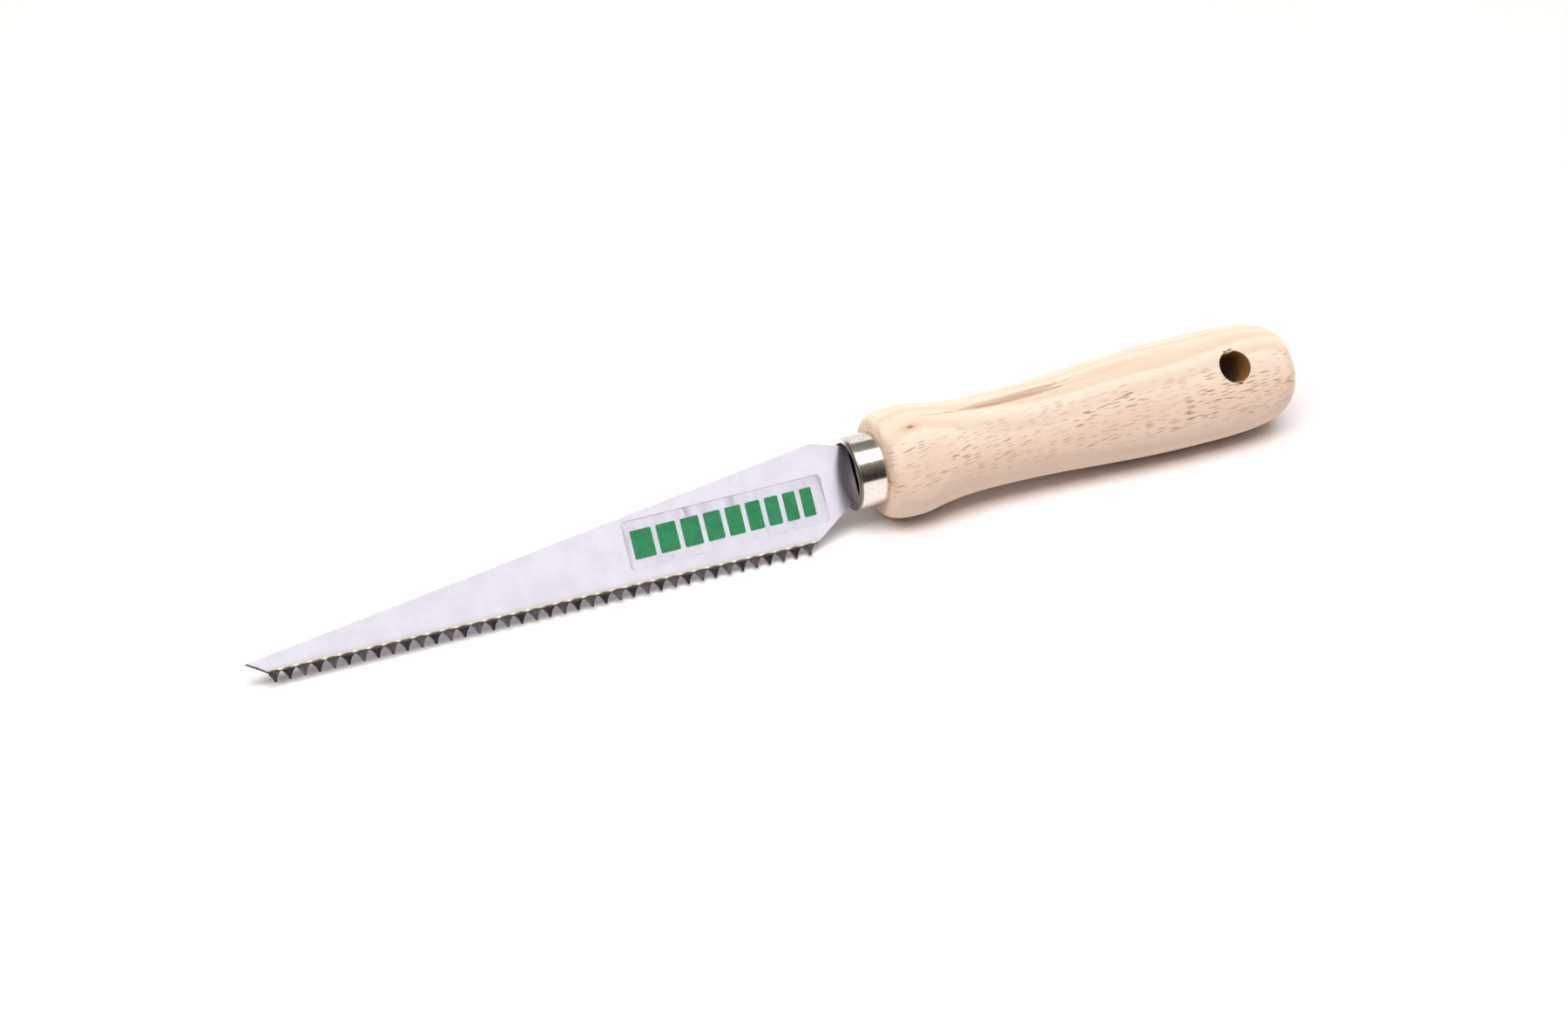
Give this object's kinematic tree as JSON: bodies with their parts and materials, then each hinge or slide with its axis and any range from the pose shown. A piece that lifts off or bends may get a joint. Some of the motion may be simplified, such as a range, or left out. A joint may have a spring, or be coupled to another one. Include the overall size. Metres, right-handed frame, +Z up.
{
  "type": "drywall saw",
  "caption": "Drywall jab saw with a turned wooden handle, a plated ferrule, a tapered toothed steel blade with a film label, and a hanging hole in the butt.",
  "frame": {"origin": "centre of the bounding box's bottom: the middle of the saw's footprint, on the table it rests on", "axes": "+X along the saw from the blade's point to the butt, +Z up; the saw lies as it rests, teeth down towards -Y and the labelled face looking up towards -Y"},
  "size_m": [0.2862, 0.0292, 0.0293],
  "materials": {
    "blade_steel": "satin, finely ground, dark toothed edge",
    "beech": "turned and sanded, bare",
    "nickel_plate": "bright nickel plate with fine speckle",
    "pin_steel": "drawn wire",
    "label_film": "clear film with a green printed band"
  },
  "bodies": {
    "root": {"blade": "blade_steel", "handle": "beech", "ferrule": "nickel_plate", "tang_pin": "pin_steel", "label": "label_film"}
  },
  "joints": []
}
